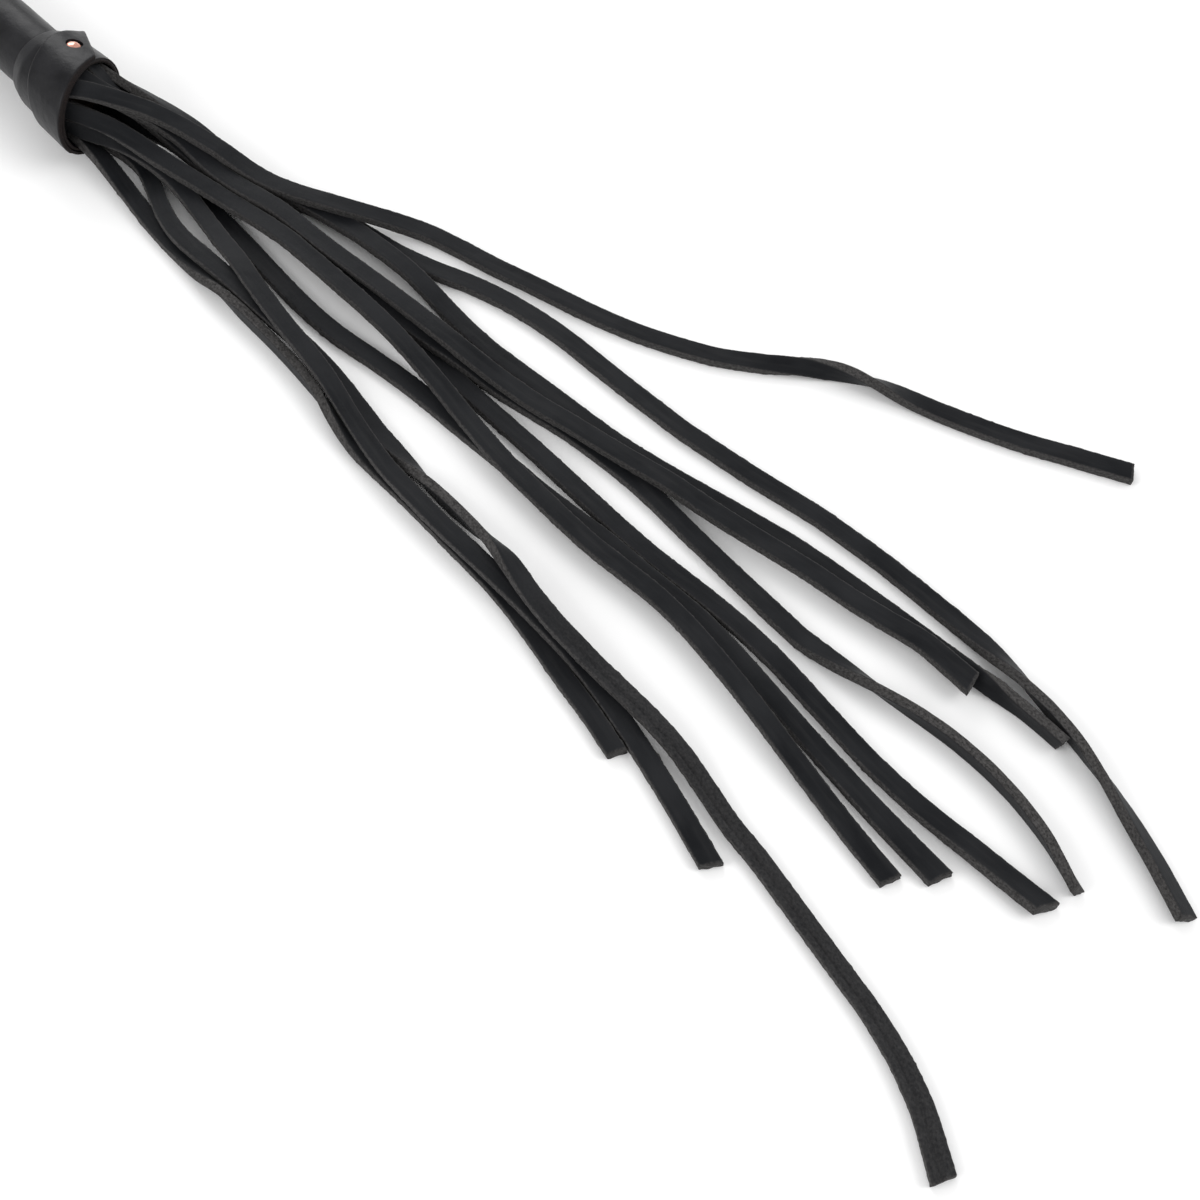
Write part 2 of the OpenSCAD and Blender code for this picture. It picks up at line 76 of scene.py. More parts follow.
FALLS = {
    "fall_01": [
        *root(-1),
        (0, -5, 20.7, 33), (3, -4.2, 21.7, 30), (6, -2, 22.2, 25), (12, 3.2, 19.5, 15), (18, 8.4, 16.3, 8),
        (25, 12.8, 12.5, 3), (32, 15, 10.6, 0), (36, 16.2, 9.9, 0), (40, 17, 8.9, 0), (46, 18.2, 7.6, 0),
        (52, 19.6, 7, 0), (60, 22.6, 6.9, 0), (70, 27.6, 6.7, 0), (80, 34, 4.8, 0), (90, 40.6, 2, 0),
        (100, 43.6, 1.3, 0), (110, 45.7, 1.3, 0), (120, 48.5, 1.3, 0), (130, 51, 1.3, 0),
        (140, 53.6, 1.3, 0), (150, 56.8, 1.3, 0), (160, 61, 1.3, 0), (170, 66, 1.3, 0), (180, 73, 1.6, 10),
        (188, 79.4, 2.5, 45), (196, 84.8, 2.6, 90), (204, 88.2, 2.5, 135), (212, 90.8, 1.6, 170),
        (220, 93.4, 1.3, 180), (230, 97, 1.3, 180), (240, 101.2, 1.3, 180), (250, 106.2, 1.3, 180),
        (264, 113, 1.3, 180),
    ],
    "fall_02": [
        *root(3),
        (0, 8.9, 11.7, -98.2), (3, 9.3, 11.3, -102), (12, 13.1, 7.9, -122), (25, 17.5, 4.4, -162),
        (32, 18, 2.4, -176), (40, 18.1, 1.4, -180), (50, 20.3, 1.3, -180), (60, 24.6, 1.3, -180),
        (70, 27.5, 1.3, -180), (80, 29.2, 1.3, -180), (90, 30.8, 1.3, -180), (100, 33.8, 1.3, -180),
        (110, 37.6, 1.3, -180), (120, 40.4, 1.3, -180), (130, 42.1, 1.3, -180), (140, 43, 1.3, -180),
        (160, 43.4, 1.3, -180), (180, 44.2, 1.3, -180), (200, 46.6, 1.3, -180), (220, 49.8, 1.3, -180),
        (240, 51.2, 1.3, -180), (260, 51.4, 1.3, -180), (270, 51, 2, -195), (280, 50.2, 2.6, -235),
        (290, 48.9, 2.6, -262), (300, 46.9, 2.6, -265), (310, 43.9, 2.6, -245), (320, 40.2, 2.5, -225),
        (330, 36.4, 2.4, -218), (342, 31, 2.3, -215),
    ],
    "fall_03": [
        *root(2),
        (0, 8.2, 16.8, -66), (3, 9.3, 15.8, -62), (6, 10.4, 14.7, -55), (12, 12.9, 12.5, -44),
        (18, 15, 10.6, -36), (25, 16.7, 8.6, -25), (32, 17.3, 6.6, -10), (40, 17.6, 4.5, 0),
        (50, 19.6, 4.1, 0), (60, 23.2, 4, 0), (70, 25.2, 4, 0), (80, 26.9, 4, 0), (90, 27.7, 4, 0),
        (97, 28, 3.9, 0), (105, 28, 2.7, 0), (112, 27.6, 1.5, 0), (120, 27, 1.3, 0), (130, 26.8, 1.3, 0),
        (140, 27.6, 1.3, 0), (150, 28.4, 1.3, 0), (160, 29, 1.3, 0), (170, 29.7, 1.3, 0),
        (180, 31.1, 1.3, 0), (190, 33, 1.3, 0), (200, 35.2, 1.3, 0), (210, 37.3, 1.3, 0),
        (220, 39.2, 1.3, 0), (230, 40.4, 1.3, 0), (240, 41.2, 1.3, 0), (250, 42.1, 1.3, 0),
        (260, 42.7, 1.3, 0), (270, 43.3, 1.6, 8), (277, 43.8, 2.4, 50), (284, 44.2, 2.6, 88),
        (290, 44.4, 2.6, 90), (298, 44.1, 2.6, 90),
    ],
    "fall_04": [
        *root(0),
        (0, 0, 21.8, 0), (3, 0.9, 20.9, 0), (6, 2.2, 19.1, 0), (12, 5.6, 15.8, 0), (18, 9.2, 12.5, 0),
        (25, 12, 9.1, 0), (32, 11.9, 7.8, 0), (40, 12.1, 6.9, 0), (50, 13.7, 6.8, 0), (60, 15.8, 6.8, 0),
        (80, 16.6, 6.7, 0), (100, 18.3, 6.7, 0), (120, 19.4, 6.7, 0), (126, 19.7, 6.5, 0),
        (133, 20.4, 5.4, 0), (140, 21.4, 4.3, 0), (150, 22.6, 4, 0), (160, 24.6, 4, 0), (170, 26.2, 4, 0),
        (180, 28, 4, 0), (190, 30, 4, 0), (200, 31, 4, 0), (210, 32.5, 4, 0), (220, 34.2, 4, 0),
        (230, 35.9, 4, 0), (240, 37, 4, 0), (250, 38.6, 4, 0), (260, 40.7, 4, 0), (275, 40.4, 4, 0),
    ],
    "fall_05": [
        *root(1),
        (0, 4.9, 20.4, -33), (3, 5.3, 18.2, -31), (6, 6.2, 14.6, -22), (12, 8.2, 11.8, -10),
        (18, 9.8, 9.2, -4), (25, 11, 6.2, 0), (40, 12.6, 4.2, 0), (50, 13.8, 4.1, 0), (60, 15, 4, 0),
        (80, 15.5, 4, 0), (100, 15.8, 4, 0), (110, 16.3, 4, 0), (120, 17.4, 4, 0), (125, 18.2, 3.9, 0),
        (131, 19.3, 2.7, 0), (138, 20.3, 1.3, 0), (150, 22.2, 1.3, 0), (160, 24, 1.3, 0),
        (170, 24.9, 1.3, 0), (180, 25.5, 1.3, 0), (190, 25.3, 1.3, 0), (200, 24.5, 1.3, 0),
        (220, 23.4, 1.3, 0), (240, 22.4, 1.3, 0), (250, 23.3, 2.2, -30), (260, 24.8, 2.6, -65),
        (270, 26.5, 2.6, -85), (280, 27.6, 2.6, -90), (290, 27.6, 2.6, -88), (300, 26.5, 2.6, -85),
        (310, 24.2, 2.6, -80), (322, 19.3, 2.6, -65),
    ],
    "fall_06": [
        *root(4),
        (0, 6.8, 7.1, -130.9), (4, 7, 6.9, -134), (12, 8.9, 4.6, -155), (18, 11.4, 3.6, -168),
        (25, 12.9, 2.8, -177), (40, 13.3, 1.4, -180), (60, 14.2, 1.3, -180), (80, 14.6, 1.3, -180),
        (100, 14.8, 1.3, -180), (120, 14.6, 1.3, -180), (140, 14.4, 1.3, -180), (160, 14.3, 1.3, -180),
        (180, 13.7, 1.3, -180), (190, 13.5, 1.3, -180), (200, 13.5, 1.3, -180), (210, 14.1, 1.3, -180),
        (220, 14.7, 1.3, -180), (230, 14.8, 1.3, -180), (240, 14.3, 1.3, -180), (250, 13.1, 1.3, -180),
        (260, 11.9, 1.3, -180), (270, 10.8, 1.3, -180), (280, 10.2, 1.5, -184), (290, 10.2, 1.7, -190),
        (300, 10.8, 1.8, -196), (310, 11.2, 1.9, -202), (320, 11.8, 2, -205),
    ],
    "fall_07": [
        *root(-2),
        (0, -8.2, 16.7, 65.5), (6, -5, 15.6, 50), (12, -1, 12.9, 32), (18, 1, 11.3, 18), (25, 2.6, 9.7, 8),
        (32, 4.6, 7.8, 0), (40, 6.5, 6.9, 0), (45, 7.7, 6.2, 0), (50, 8.7, 5.8, 0), (60, 10.2, 6.2, 0),
        (70, 11.2, 6.7, 0), (80, 11.3, 6.7, 0), (100, 11.4, 6.7, 0), (110, 11, 6.7, 0), (120, 10.2, 6.2, 0),
        (130, 9.2, 5.2, 0), (140, 7.8, 4.3, 0), (150, 6.4, 4.1, 0), (160, 5.4, 4, 0), (170, 5, 4, 0),
        (180, 4.5, 4, 0), (190, 4.4, 4, 0), (200, 5.1, 4, 0), (210, 5.7, 4, 0), (220, 5.2, 4, 0),
        (230, 3.8, 4, 0), (240, 2.2, 4, 0), (250, 0.3, 3.7, 0), (260, -1.6, 3, 0), (270, -3.3, 2, 0),
        (280, -5, 1.4, 0), (293, -7, 1.3, 0),
    ],
    "fall_08": [
        *root(5),
        (0, 2.5, 4.4, -163.6), (6, 2.8, 5.1, -172), (12, 3.9, 5.2, -176), (18, 4.3, 4.6, -180),
        (25, 4.8, 3.8, -180), (32, 5, 2.4, -180), (40, 5, 1.6, -180), (50, 4.9, 1.3, -180),
        (60, 4.3, 1.3, -180), (70, 3.4, 1.3, -180), (80, 2.6, 1.3, -180), (90, 2.2, 1.3, -180),
        (100, 2.6, 1.3, -180), (110, 4, 1.3, -180), (120, 5.1, 1.3, -180), (130, 5.8, 1.3, -180),
        (140, 6, 1.3, -180), (150, 6.4, 1.3, -180), (160, 6.8, 1.3, -180), (170, 7, 1.3, -180),
        (180, 7.8, 1.3, -180), (190, 8.7, 1.3, -180), (200, 8.8, 1.3, -180), (210, 9.3, 1.3, -180),
        (220, 9.6, 1.3, -180), (230, 8.8, 1.3, -180), (240, 7.5, 1.3, -180), (260, 4.8, 1.3, -180),
        (280, 2.6, 1.3, -180), (300, 1, 1.3, -180),
    ],
    "fall_09": [
        *root(-3),
        (0, -9, 12, 98.2), (6, -5.6, 10, 70), (12, -1.6, 8.5, 40), (18, 0.8, 7.8, 20), (25, 2.4, 6.8, 6),
        (32, 3.2, 5.2, 0), (40, 2.4, 4.4, 0), (50, 0.7, 4.2, 0), (60, -1.2, 5.2, 0), (66, -2.2, 6.4, 0),
        (72, -3.6, 6.8, 0), (80, -5.2, 6.8, 0), (90, -6.9, 6.7, 0), (100, -8, 6.2, 0), (110, -9.5, 5.7, 0),
        (120, -11.9, 4.6, 0), (130, -14.2, 4, 0), (140, -16, 4, 0), (150, -16.6, 4, 0), (160, -17.1, 4, 0),
        (180, -17.3, 4, 0), (190, -17.6, 4, 0), (200, -18.1, 4, 0), (206, -18.3, 3.5, 0),
        (212, -18.9, 2.1, 0), (220, -20.3, 1.4, 0), (230, -22.5, 1.3, 0), (240, -25, 1.3, 0),
        (250, -27.8, 1.3, 0), (264, -32, 1.3, 0),
    ],
    "fall_10": [
        *root(-5),
        (0, -2.5, 4.4, 163.6), (6, -1.3, 3.4, 168), (12, 1, 2.4, 176), (18, 1.8, 1.6, 180),
        (22, 1.2, 1.5, 180), (26, -0.3, 1.7, 180), (30, -1.9, 2.6, 180), (35, -4, 3.8, 180),
        (40, -5.8, 4, 180), (46, -7.1, 4, 180), (52, -7.3, 4, 180), (60, -6.9, 4, 180), (70, -6.7, 4, 180),
        (80, -6.8, 4, 180), (90, -6.7, 4, 180), (100, -6.4, 3.4, 180), (110, -6.9, 2.2, 180),
        (120, -8.3, 1.3, 180), (130, -10, 1.3, 180), (140, -10.9, 2.2, 145), (150, -11.3, 2.7, 95),
        (158, -11.5, 2.8, 90), (166, -11.9, 3.8, 98), (174, -12.5, 5.6, 120), (181, -13.8, 6.9, 160),
        (190, -15.9, 7, 180), (200, -17.2, 6.7, 180), (206, -17.4, 6.2, 180), (212, -17.4, 5, 180),
        (220, -17.3, 4.2, 180), (230, -17.4, 4, 180), (240, -18, 3, 180), (250, -19.9, 1.8, 180),
        (260, -22.3, 1.3, 180), (270, -23.6, 1.3, 180), (290, -27.6, 1.3, 180), (310, -31.5, 1.3, 180),
        (320, -34.5, 1.3, 180), (330, -38.8, 1.3, 180), (342, -46.5, 1.3, 180),
    ],
    "fall_11": [
        *root(-4),
        (0, -6.8, 7.1, 130.9), (6, -6, 5.6, 146), (12, -5.6, 4.3, 158), (18, -6.2, 3.1, 168),
        (25, -7, 2.2, 176), (33, -8.1, 1.5, 180), (40, -9, 1.3, 180), (50, -9.6, 1.3, 180),
        (60, -10.2, 2.1, 155), (68, -10.3, 2.6, 115), (76, -10.5, 2.6, 92), (90, -11, 2.6, 90),
        (100, -11.7, 2.6, 90), (110, -13, 2.7, 95), (120, -15.3, 2.5, 130), (130, -16.7, 1.7, 165),
        (140, -16.6, 1.3, 180), (150, -16.8, 1.3, 180), (160, -17.2, 1.3, 180), (180, -18.2, 1.3, 180),
        (190, -19.6, 1.3, 180), (200, -21.5, 1.3, 180), (206, -22.9, 1.3, 180), (212, -24, 1.3, 180),
        (220, -25.4, 1.3, 180), (231, -28, 1.3, 180),
    ],
}

FALL_W, FALL_T, ROOT_T = 4.5, 2.4, 1.6  # width, thickness, and thickness where pared down, mm
STEP = 0.7  # distance between the rings of a fall's mesh, mm
# The tip of each fall: how much wider it gets over the last stretch, and how far off square its end
# is cut, mm.
TIPS = {
    "fall_01": (1.05, 0.8), "fall_02": (1.08, -0.6), "fall_03": (1.0, 1.2), "fall_04": (1.2, -1.6),
    "fall_05": (1.05, 0.5), "fall_06": (1.32, -2.6), "fall_07": (1.08, 0.8), "fall_08": (1.22, -1.4),
    "fall_09": (1.1, 1.6), "fall_10": (1.2, 1.0), "fall_11": (1.0, -0.9),
}


# ---- mesh helpers ----
def new_object(name, verts, faces, smooth=True):
    """A mesh object from points in metres."""
    mesh = bpy.data.meshes.new(name)
    mesh.from_pydata([tuple(v) for v in verts], [], faces)
    mesh.validate()
    mesh.polygons.foreach_set("use_smooth", [smooth] * len(mesh.polygons))
    obj = bpy.data.objects.new(name, mesh)
    bpy.context.scene.collection.objects.link(obj)
    return obj


def add_values(obj, name, values):
    """Stores one number, or one vector, per vertex for the materials to read."""
    values = np.asarray(values, np.float32)
    if values.ndim == 1:
        obj.data.attributes.new(name, "FLOAT", "POINT").data.foreach_set("value", values)
    else:
        obj.data.attributes.new(name, "FLOAT_VECTOR", "POINT").data.foreach_set("vector", values.ravel())


def wave(x, y=0.0, z=0.0):
    """Smooth noise, about -1 to 1."""
    return noise.noise(Vector((x, y, z)))


def unit(v):
    return v / np.linalg.norm(v, axis=-1, keepdims=True)


def smoothed(values, sigma):
    """Gaussian smoothing along a list of evenly spaced rows, with its ends kept in place."""
    half = int(3 * sigma) + 1
    weights = np.exp(-0.5 * (np.arange(-half, half + 1) / sigma) ** 2)
    weights /= weights.sum()
    head = 2 * values[0] - values[half:0:-1]
    tail = 2 * values[-1] - values[-2:-half - 2:-1]
    padded = np.concatenate([head, values, tail])
    return np.stack([np.convolve(padded[:, k], weights, "valid") for k in range(values.shape[1])], 1)


def section(w, t, corner, across=9, up=5):
    """A strip's cross section as rows of (u, v, edge): edge is 1 on the cut sides and 0 on the faces."""
    top = [(u, t / 2, 0.0) for u in np.linspace(w / 2 - corner, corner - w / 2, across)]
    left = [(-w / 2, v, 1.0) for v in np.linspace(t / 2 - corner, corner - t / 2, up)]
    rows = top + [(-w / 2 + 0.29 * corner, t / 2 - 0.29 * corner, 0.5)]
    rows += left + [(-w / 2 + 0.29 * corner, -t / 2 + 0.29 * corner, 0.5)]
    rows += [(-u, -v, e) for u, v, e in top]
    rows += [(w / 2 - 0.29 * corner, -t / 2 + 0.29 * corner, 0.5)]
    rows += [(-u, -v, e) for u, v, e in left]
    rows += [(w / 2 - 0.29 * corner, t / 2 - 0.29 * corner, 0.5)]
    return np.array(rows)


def tube_faces(rings, around, closed_ends=True, closed_loop=False):
    """Quads between the rings of a tube, with a polygon over each end."""
    faces = []
    last = rings if closed_loop else rings - 1
    for i in range(last):
        a, b = i * around, (i + 1) % rings * around
        faces += [(a + j, a + (j + 1) % around, b + (j + 1) % around, b + j) for j in range(around)]
    if closed_ends and not closed_loop:
        faces.append(tuple(reversed(range(around))))
        faces.append(tuple(range((rings - 1) * around, rings * around)))
    return faces


def along(points, step):
    """Evenly spaced rows along a polyline, with every column carried with the position in the first three."""
    length = np.concatenate([[0], np.cumsum(np.linalg.norm(np.diff(points[:, :3], axis=0), axis=1))])
    n = max(int(round(length[-1] / step)), 2)
    s = np.linspace(0, length[-1], n + 1)
    return s, np.stack([np.interp(s, length, points[:, k]) for k in range(points.shape[1])], 1)


def ribbon_frames(route):
    """Centre, side and face directions at each point of a route, with its roll."""
    route = np.array(route, float)
    centre = route[:, :3]
    tangent = np.empty_like(centre)
    for i in range(len(centre)):
        tangent[i] = centre[min(i + 1, len(centre) - 1)] - centre[max(i - 1, 0)]
    tangent = unit(tangent)
    side = unit(np.cross([0, 0, 1.0], tangent))
    face = np.cross(tangent, side)
    roll = np.radians(route[:, 3:])
    return centre, np.cos(roll) * side + np.sin(roll) * face, np.cos(roll) * face - np.sin(roll) * side


def make_fall(name, seed):
    """A flat leather thong with rough cut edges and a cut end. Returns it, its centreline and its length."""
    centre, side, face = ribbon_frames(FALLS[name])
    s, rows = along(np.concatenate([centre, side, face], 1), STEP)
    rows = smoothed(rows, 3.6)
    centre = rows[:, :3]
    tangent = unit(np.gradient(centre, axis=0))
    side = unit(rows[:, 3:6] - (rows[:, 3:6] * tangent).sum(1)[:, None] * tangent)
    face = np.cross(tangent, side)
    flare, slant = TIPS[name]
    total = s[-1]
    outline = section(1, 1, 0.07)
    around = len(outline)
    verts, edge, strip = [], [], []
    sides = np.diff(outline[:, :2] * [FALL_W, FALL_T], axis=0)
    perimeter = np.concatenate([[0], np.cumsum(np.hypot(*sides.T))])
    lowest = 0.05
    for i, d in enumerate(s):
        x = centre[i][0]
        to_tip = total - d
        w = FALL_W * (1 + 0.05 * wave(d / 38, seed) + (flare - 1) * max(0, 1 - to_tip / 45) ** 1.5)
        t = FALL_T * (1 + 0.05 * wave(d / 21, seed, 5))
        if x < 0:
            t += (ROOT_T - t) * min(1, -x / 10)
        out_of_collar = min(max((x - 4) / 8, 0), 1)
        cup = 0.16 * wave(d / 26, seed, 9) * out_of_collar
        skew = 0.22 * wave(d / 33, seed, 14) * out_of_collar
        for j, (u, v, e) in enumerate(outline):
            pu, pv = u * w, v * t
            rough = e * (
                0.17 * wave(d / 0.9, j * 0.9, seed) + 0.18 * wave(d / 2.3, j * 0.35, seed + 3)
                + 0.50 * max(0, wave(d / 1.6, j * 0.55, seed + 7) - 0.42)
            )
            pu += math.copysign(rough * out_of_collar, u)
            pu += skew * v
            pv += (4 * u * u - 0.4) * cup
            pv += (1 - e) * out_of_collar * math.copysign(1, v) * (
                0.05 * wave(d / 3.1, u * 2.4, seed + 11) + 0.03 * wave(d / 1.2, u * 5, seed + 12))
            if name == "fall_10" and v < 0:
                reach = min(max((d - total + 165) / 40, 0), 1)
                line = 0.10 + 0.10 * wave(d / 17, 3.3)
                ridge = 0.62 * math.exp(-((u - line) / 0.075) ** 2)
                dip = 0.16 * math.exp(-((u - line + 0.17) / 0.09) ** 2)
                pv += reach * (ridge - dip)
                pv += reach * 0.12 * wave(d / 5.5, u * 3.5, 21)
            p = centre[i] + pu * side[i] + pv * face[i]
            # the end is cut off a little slanted and not quite flat
            if to_tip < 6:
                pull = 1 - to_tip / 6
                p = p + tangent[i] * pull * (slant * u + 0.3 * wave(u * 4, v * 4, seed + 30))
            p[2] = max(p[2], lowest)
            verts.append((mouth_x + p[0] * MM, p[1] * MM, p[2] * MM))
            worn = 0.35 * min(max((165 - to_tip) / 40, 0), 1) if name == "fall_10" and v < 0 else 0
            edge.append(max(e, worn, min(1, max(0, 1 - to_tip / 0.5))))
            strip.append((d, perimeter[j], seed * 31.0))
    faces = tube_faces(len(s), around, closed_ends=False)
    first, last = 0, (len(s) - 1) * around
    for base, flip in ((first, False), (last, True)):
        hub = len(verts)
        ring = [Vector(verts[base + j]) for j in range(around)]
        verts.append(tuple(sum(ring, Vector()) / around))
        edge.append(1.0)
        strip.append((total, 3.0, seed * 31.0))
        for j in range(around):
            a, b = base + j, base + (j + 1) % around
            faces.append((a, b, hub) if flip else (b, a, hub))
    obj = new_object(name + "_leather", verts, faces)
    add_values(obj, "edge", edge)
    add_values(obj, "strip", np.array(strip) * MM)
    bm = bmesh.new()
    bm.from_mesh(obj.data)
    bmesh.ops.recalc_face_normals(bm, faces=bm.faces)
    bm.to_mesh(obj.data)
    bm.free()
    line = [(mouth_x + p[0] * MM, p[1] * MM, p[2] * MM) for p in centre]
    return obj, line, total * MM


def shell(name, xs, angles, outer, inner):
    """A closed tube round the handle's axis.

    outer and inner give (x, radius) in mm at a share 0 to 1 along, and an angle from the top in degrees.
    """
    verts = []
    for share in xs:
        for a in angles:
            verts.append(around_axis(*outer(share, a), a))
    for share in reversed(xs):
        for a in angles:
            verts.append(around_axis(*inner(share, a), a))
    n, m = len(angles), 2 * len(xs)
    faces = []
    for i in range(m):
        p, q = i * n, (i + 1) % m * n
        faces += [(p + j, q + j, q + (j + 1) % n, p + (j + 1) % n) for j in range(n)]
    obj = new_object(name, verts, faces)
    fix_normals(obj)
    return obj


def around_axis(x, radius, degrees):
    """A point at x mm from the mouth and a radius in mm, at an angle from the top towards +Y."""
    a = math.radians(degrees)
    return (mouth_x + x * MM, radius * math.sin(a) * MM, axis_z + radius * math.cos(a) * MM)


def fix_normals(obj):
    bm = bmesh.new()
    bm.from_mesh(obj.data)
    bmesh.ops.recalc_face_normals(bm, faces=bm.faces)
    bm.to_mesh(obj.data)
    bm.free()


def shares(n, ends=0.02):
    """Shares along a piece from 0 to 1, with an extra row close to each end for its rounded edge."""
    return [0, ends * 0.4, ends, *np.linspace(2 * ends, 1 - 2 * ends, n), 1 - ends, 1 - ends * 0.4, 1]


def rounded(share, ends, depth):
    """How far the surface falls away beside a rounded end."""
    near = min(share, 1 - share) / ends
    return depth * (1 - math.sqrt(max(0, 1 - (1 - min(near, 1)) ** 2)))


def wrap_mesh(name, path, side, w, t, corner, step, closed=True, wear=0.0):
    """A strap swept along a closed path of (x, y, z) in mm with its width along side."""
    path = np.array(path, float)
    if closed:
        path = np.concatenate([path, path[:1]])
    s, rows = along(path, step)
    rows = rows[:-1] if closed else rows
    n = len(rows)
    tangent = unit(np.roll(rows, -1, 0) - np.roll(rows, 1, 0)) if closed else unit(np.gradient(rows, axis=0))
    side = np.array(side, float)
    outline = section(w, t, corner, across=13)
    verts, edge, strip = [], [], []
    for i in range(n):
        face = np.cross(tangent[i], side)
        for u, v, e in outline:
            groove = 0.14 * math.exp(-((abs(u) - (w / 2 - 1.1)) / 0.16) ** 2) if e == 0 and w > 8 else 0
            puff = 0.03 * wave(s[i] / 6, u / 3, 40 + v)
            p = rows[i] + u * side + (v + math.copysign(puff - groove, v)) * face
            verts.append((mouth_x + p[0] * MM, p[1] * MM, p[2] * MM))
            edge.append(e)
            strip.append((s[i], u, v + 60.0))
    obj = new_object(name, verts, tube_faces(n, len(outline), closed_ends=not closed, closed_loop=closed))
    fix_normals(obj)
    add_values(obj, "edge", edge)
    add_values(obj, "strip", np.array(strip) * MM)
    return obj


# ---- materials ----
def node_material(name):
    mat = bpy.data.materials.new(name)
    mat.use_nodes = True
    return mat, mat.node_tree, mat.node_tree.nodes["Principled BSDF"]


def link(tree, out, into):
    tree.links.new(out, into)


def node(tree, kind, **values):
    made = tree.nodes.new(kind)
    for key, value in values.items():
        if key in made.inputs.keys():
            made.inputs[key].default_value = value
        else:
            setattr(made, key, value)
    return made


def noise_of(tree, vector, scale, detail=4.0, rough=0.55, stretch=None):
    """A noise pattern's value, its vector scaled first when stretch is given."""
    if stretch:
        m = node(tree, "ShaderNodeMapping")
        m.inputs["Scale"].default_value = stretch
        link(tree, vector, m.inputs["Vector"])
        vector = m.outputs["Vector"]
    n = node(tree, "ShaderNodeTexNoise", Scale=scale, Detail=detail, Roughness=rough)
    link(tree, vector, n.inputs["Vector"])
    return n.outputs["Fac"]


def ramp(tree, value, stops):
    """A colour ramp with stops of (position, colour)."""
    r = node(tree, "ShaderNodeValToRGB")
    r.color_ramp.elements[0].position, r.color_ramp.elements[0].color = stops[0][0], (*stops[0][1], 1)
    r.color_ramp.elements[1].position, r.color_ramp.elements[1].color = stops[1][0], (*stops[1][1], 1)
    for position, colour in stops[2:]:
        r.color_ramp.elements.new(position).color = (*colour, 1)
    link(tree, value, r.inputs["Fac"])
    return r.outputs["Color"]


def spread(tree, value, low, high, start=0.3, end=0.7):
    """Maps a pattern's value to a range of numbers."""
    m = node(tree, "ShaderNodeMapRange")
    for key, v in (("From Min", start), ("From Max", end), ("To Min", low), ("To Max", high)):
        m.inputs[key].default_value = v
    link(tree, value, m.inputs["Value"])
    return m.outputs["Result"]


def mixed(tree, share, a, b):
    m = node(tree, "ShaderNodeMix", data_type="RGBA")
    link(tree, share, m.inputs[0])
    for value, socket in ((a, m.inputs[6]), (b, m.inputs[7])):
        if isinstance(value, tuple):
            socket.default_value = (*value, 1)
        else:
            link(tree, value, socket)
    return m.outputs[2]


def mixed_value(tree, share, a, b):
    m = node(tree, "ShaderNodeMix", data_type="FLOAT")
    link(tree, share, m.inputs[0])
    for value, socket in ((a, m.inputs[2]), (b, m.inputs[3])):
        if isinstance(value, (int, float)):
            socket.default_value = value
        else:
            link(tree, value, socket)
    return m.outputs[0]


def bump(tree, bsdf, heights):
    """Stacks bumps of (value, strength, distance in mm) into the shader's normal."""
    normal = None
    for value, strength, distance in heights:
        b = node(tree, "ShaderNodeBump", Strength=strength, Distance=distance * MM)
        link(tree, value, b.inputs["Height"])
        if normal is not None:
            link(tree, normal, b.inputs["Normal"])
        normal = b.outputs["Normal"]
    link(tree, normal, bsdf.inputs["Normal"])


def attribute(tree, name):
    return node(tree, "ShaderNodeAttribute", attribute_name=name)


def fall_leather():
    """Dyed black strip leather: fine grain on the faces, lighter raw fibres on the cut edges."""
    mat, tree, bsdf = node_material("fall_leather")
    strip = attribute(tree, "strip").outputs["Vector"]
    edge = attribute(tree, "edge").outputs["Fac"]
    fibres = noise_of(tree, strip, 1.0, 5, 0.6, (420, 1500, 1))
    streaks = noise_of(tree, strip, 1.0, 3, 0.5, (60, 700, 1))
    grain = noise_of(tree, strip, 1.0, 6, 0.65, (2300, 2300, 1))
    blotch = noise_of(tree, strip, 1.0, 3, 0.5, (70, 160, 1))
    nap = noise_of(tree, strip, 1.0, 4, 0.7, (1400, 1900, 1))
    face = ramp(tree, blotch, [(0.3, (0.0030, 0.0036, 0.0050)), (0.72, (0.0125, 0.0132, 0.0150))])
    face = mixed(tree, spread(tree, streaks, 0, 0.35, 0.5, 0.75), face, (0.022, 0.022, 0.023))
    raw = ramp(tree, nap, [(0.32, (0.014, 0.0135, 0.0135)), (0.7, (0.080, 0.077, 0.076))])
    link(tree, mixed(tree, edge, face, raw), bsdf.inputs["Base Color"])
    smooth = spread(tree, blotch, 0.50, 0.66)
    link(tree, mixed_value(tree, edge, smooth, 0.95), bsdf.inputs["Roughness"])
    bsdf.inputs["Specular IOR Level"].default_value = 0.12
    bsdf.inputs["Sheen Weight"].default_value = 0.04
    bsdf.inputs["Sheen Roughness"].default_value = 0.5
    bump(tree, bsdf, [(fibres, 0.35, 0.10), (grain, 0.5, 0.05), (nap, 0.4, 0.06)])
    return mat


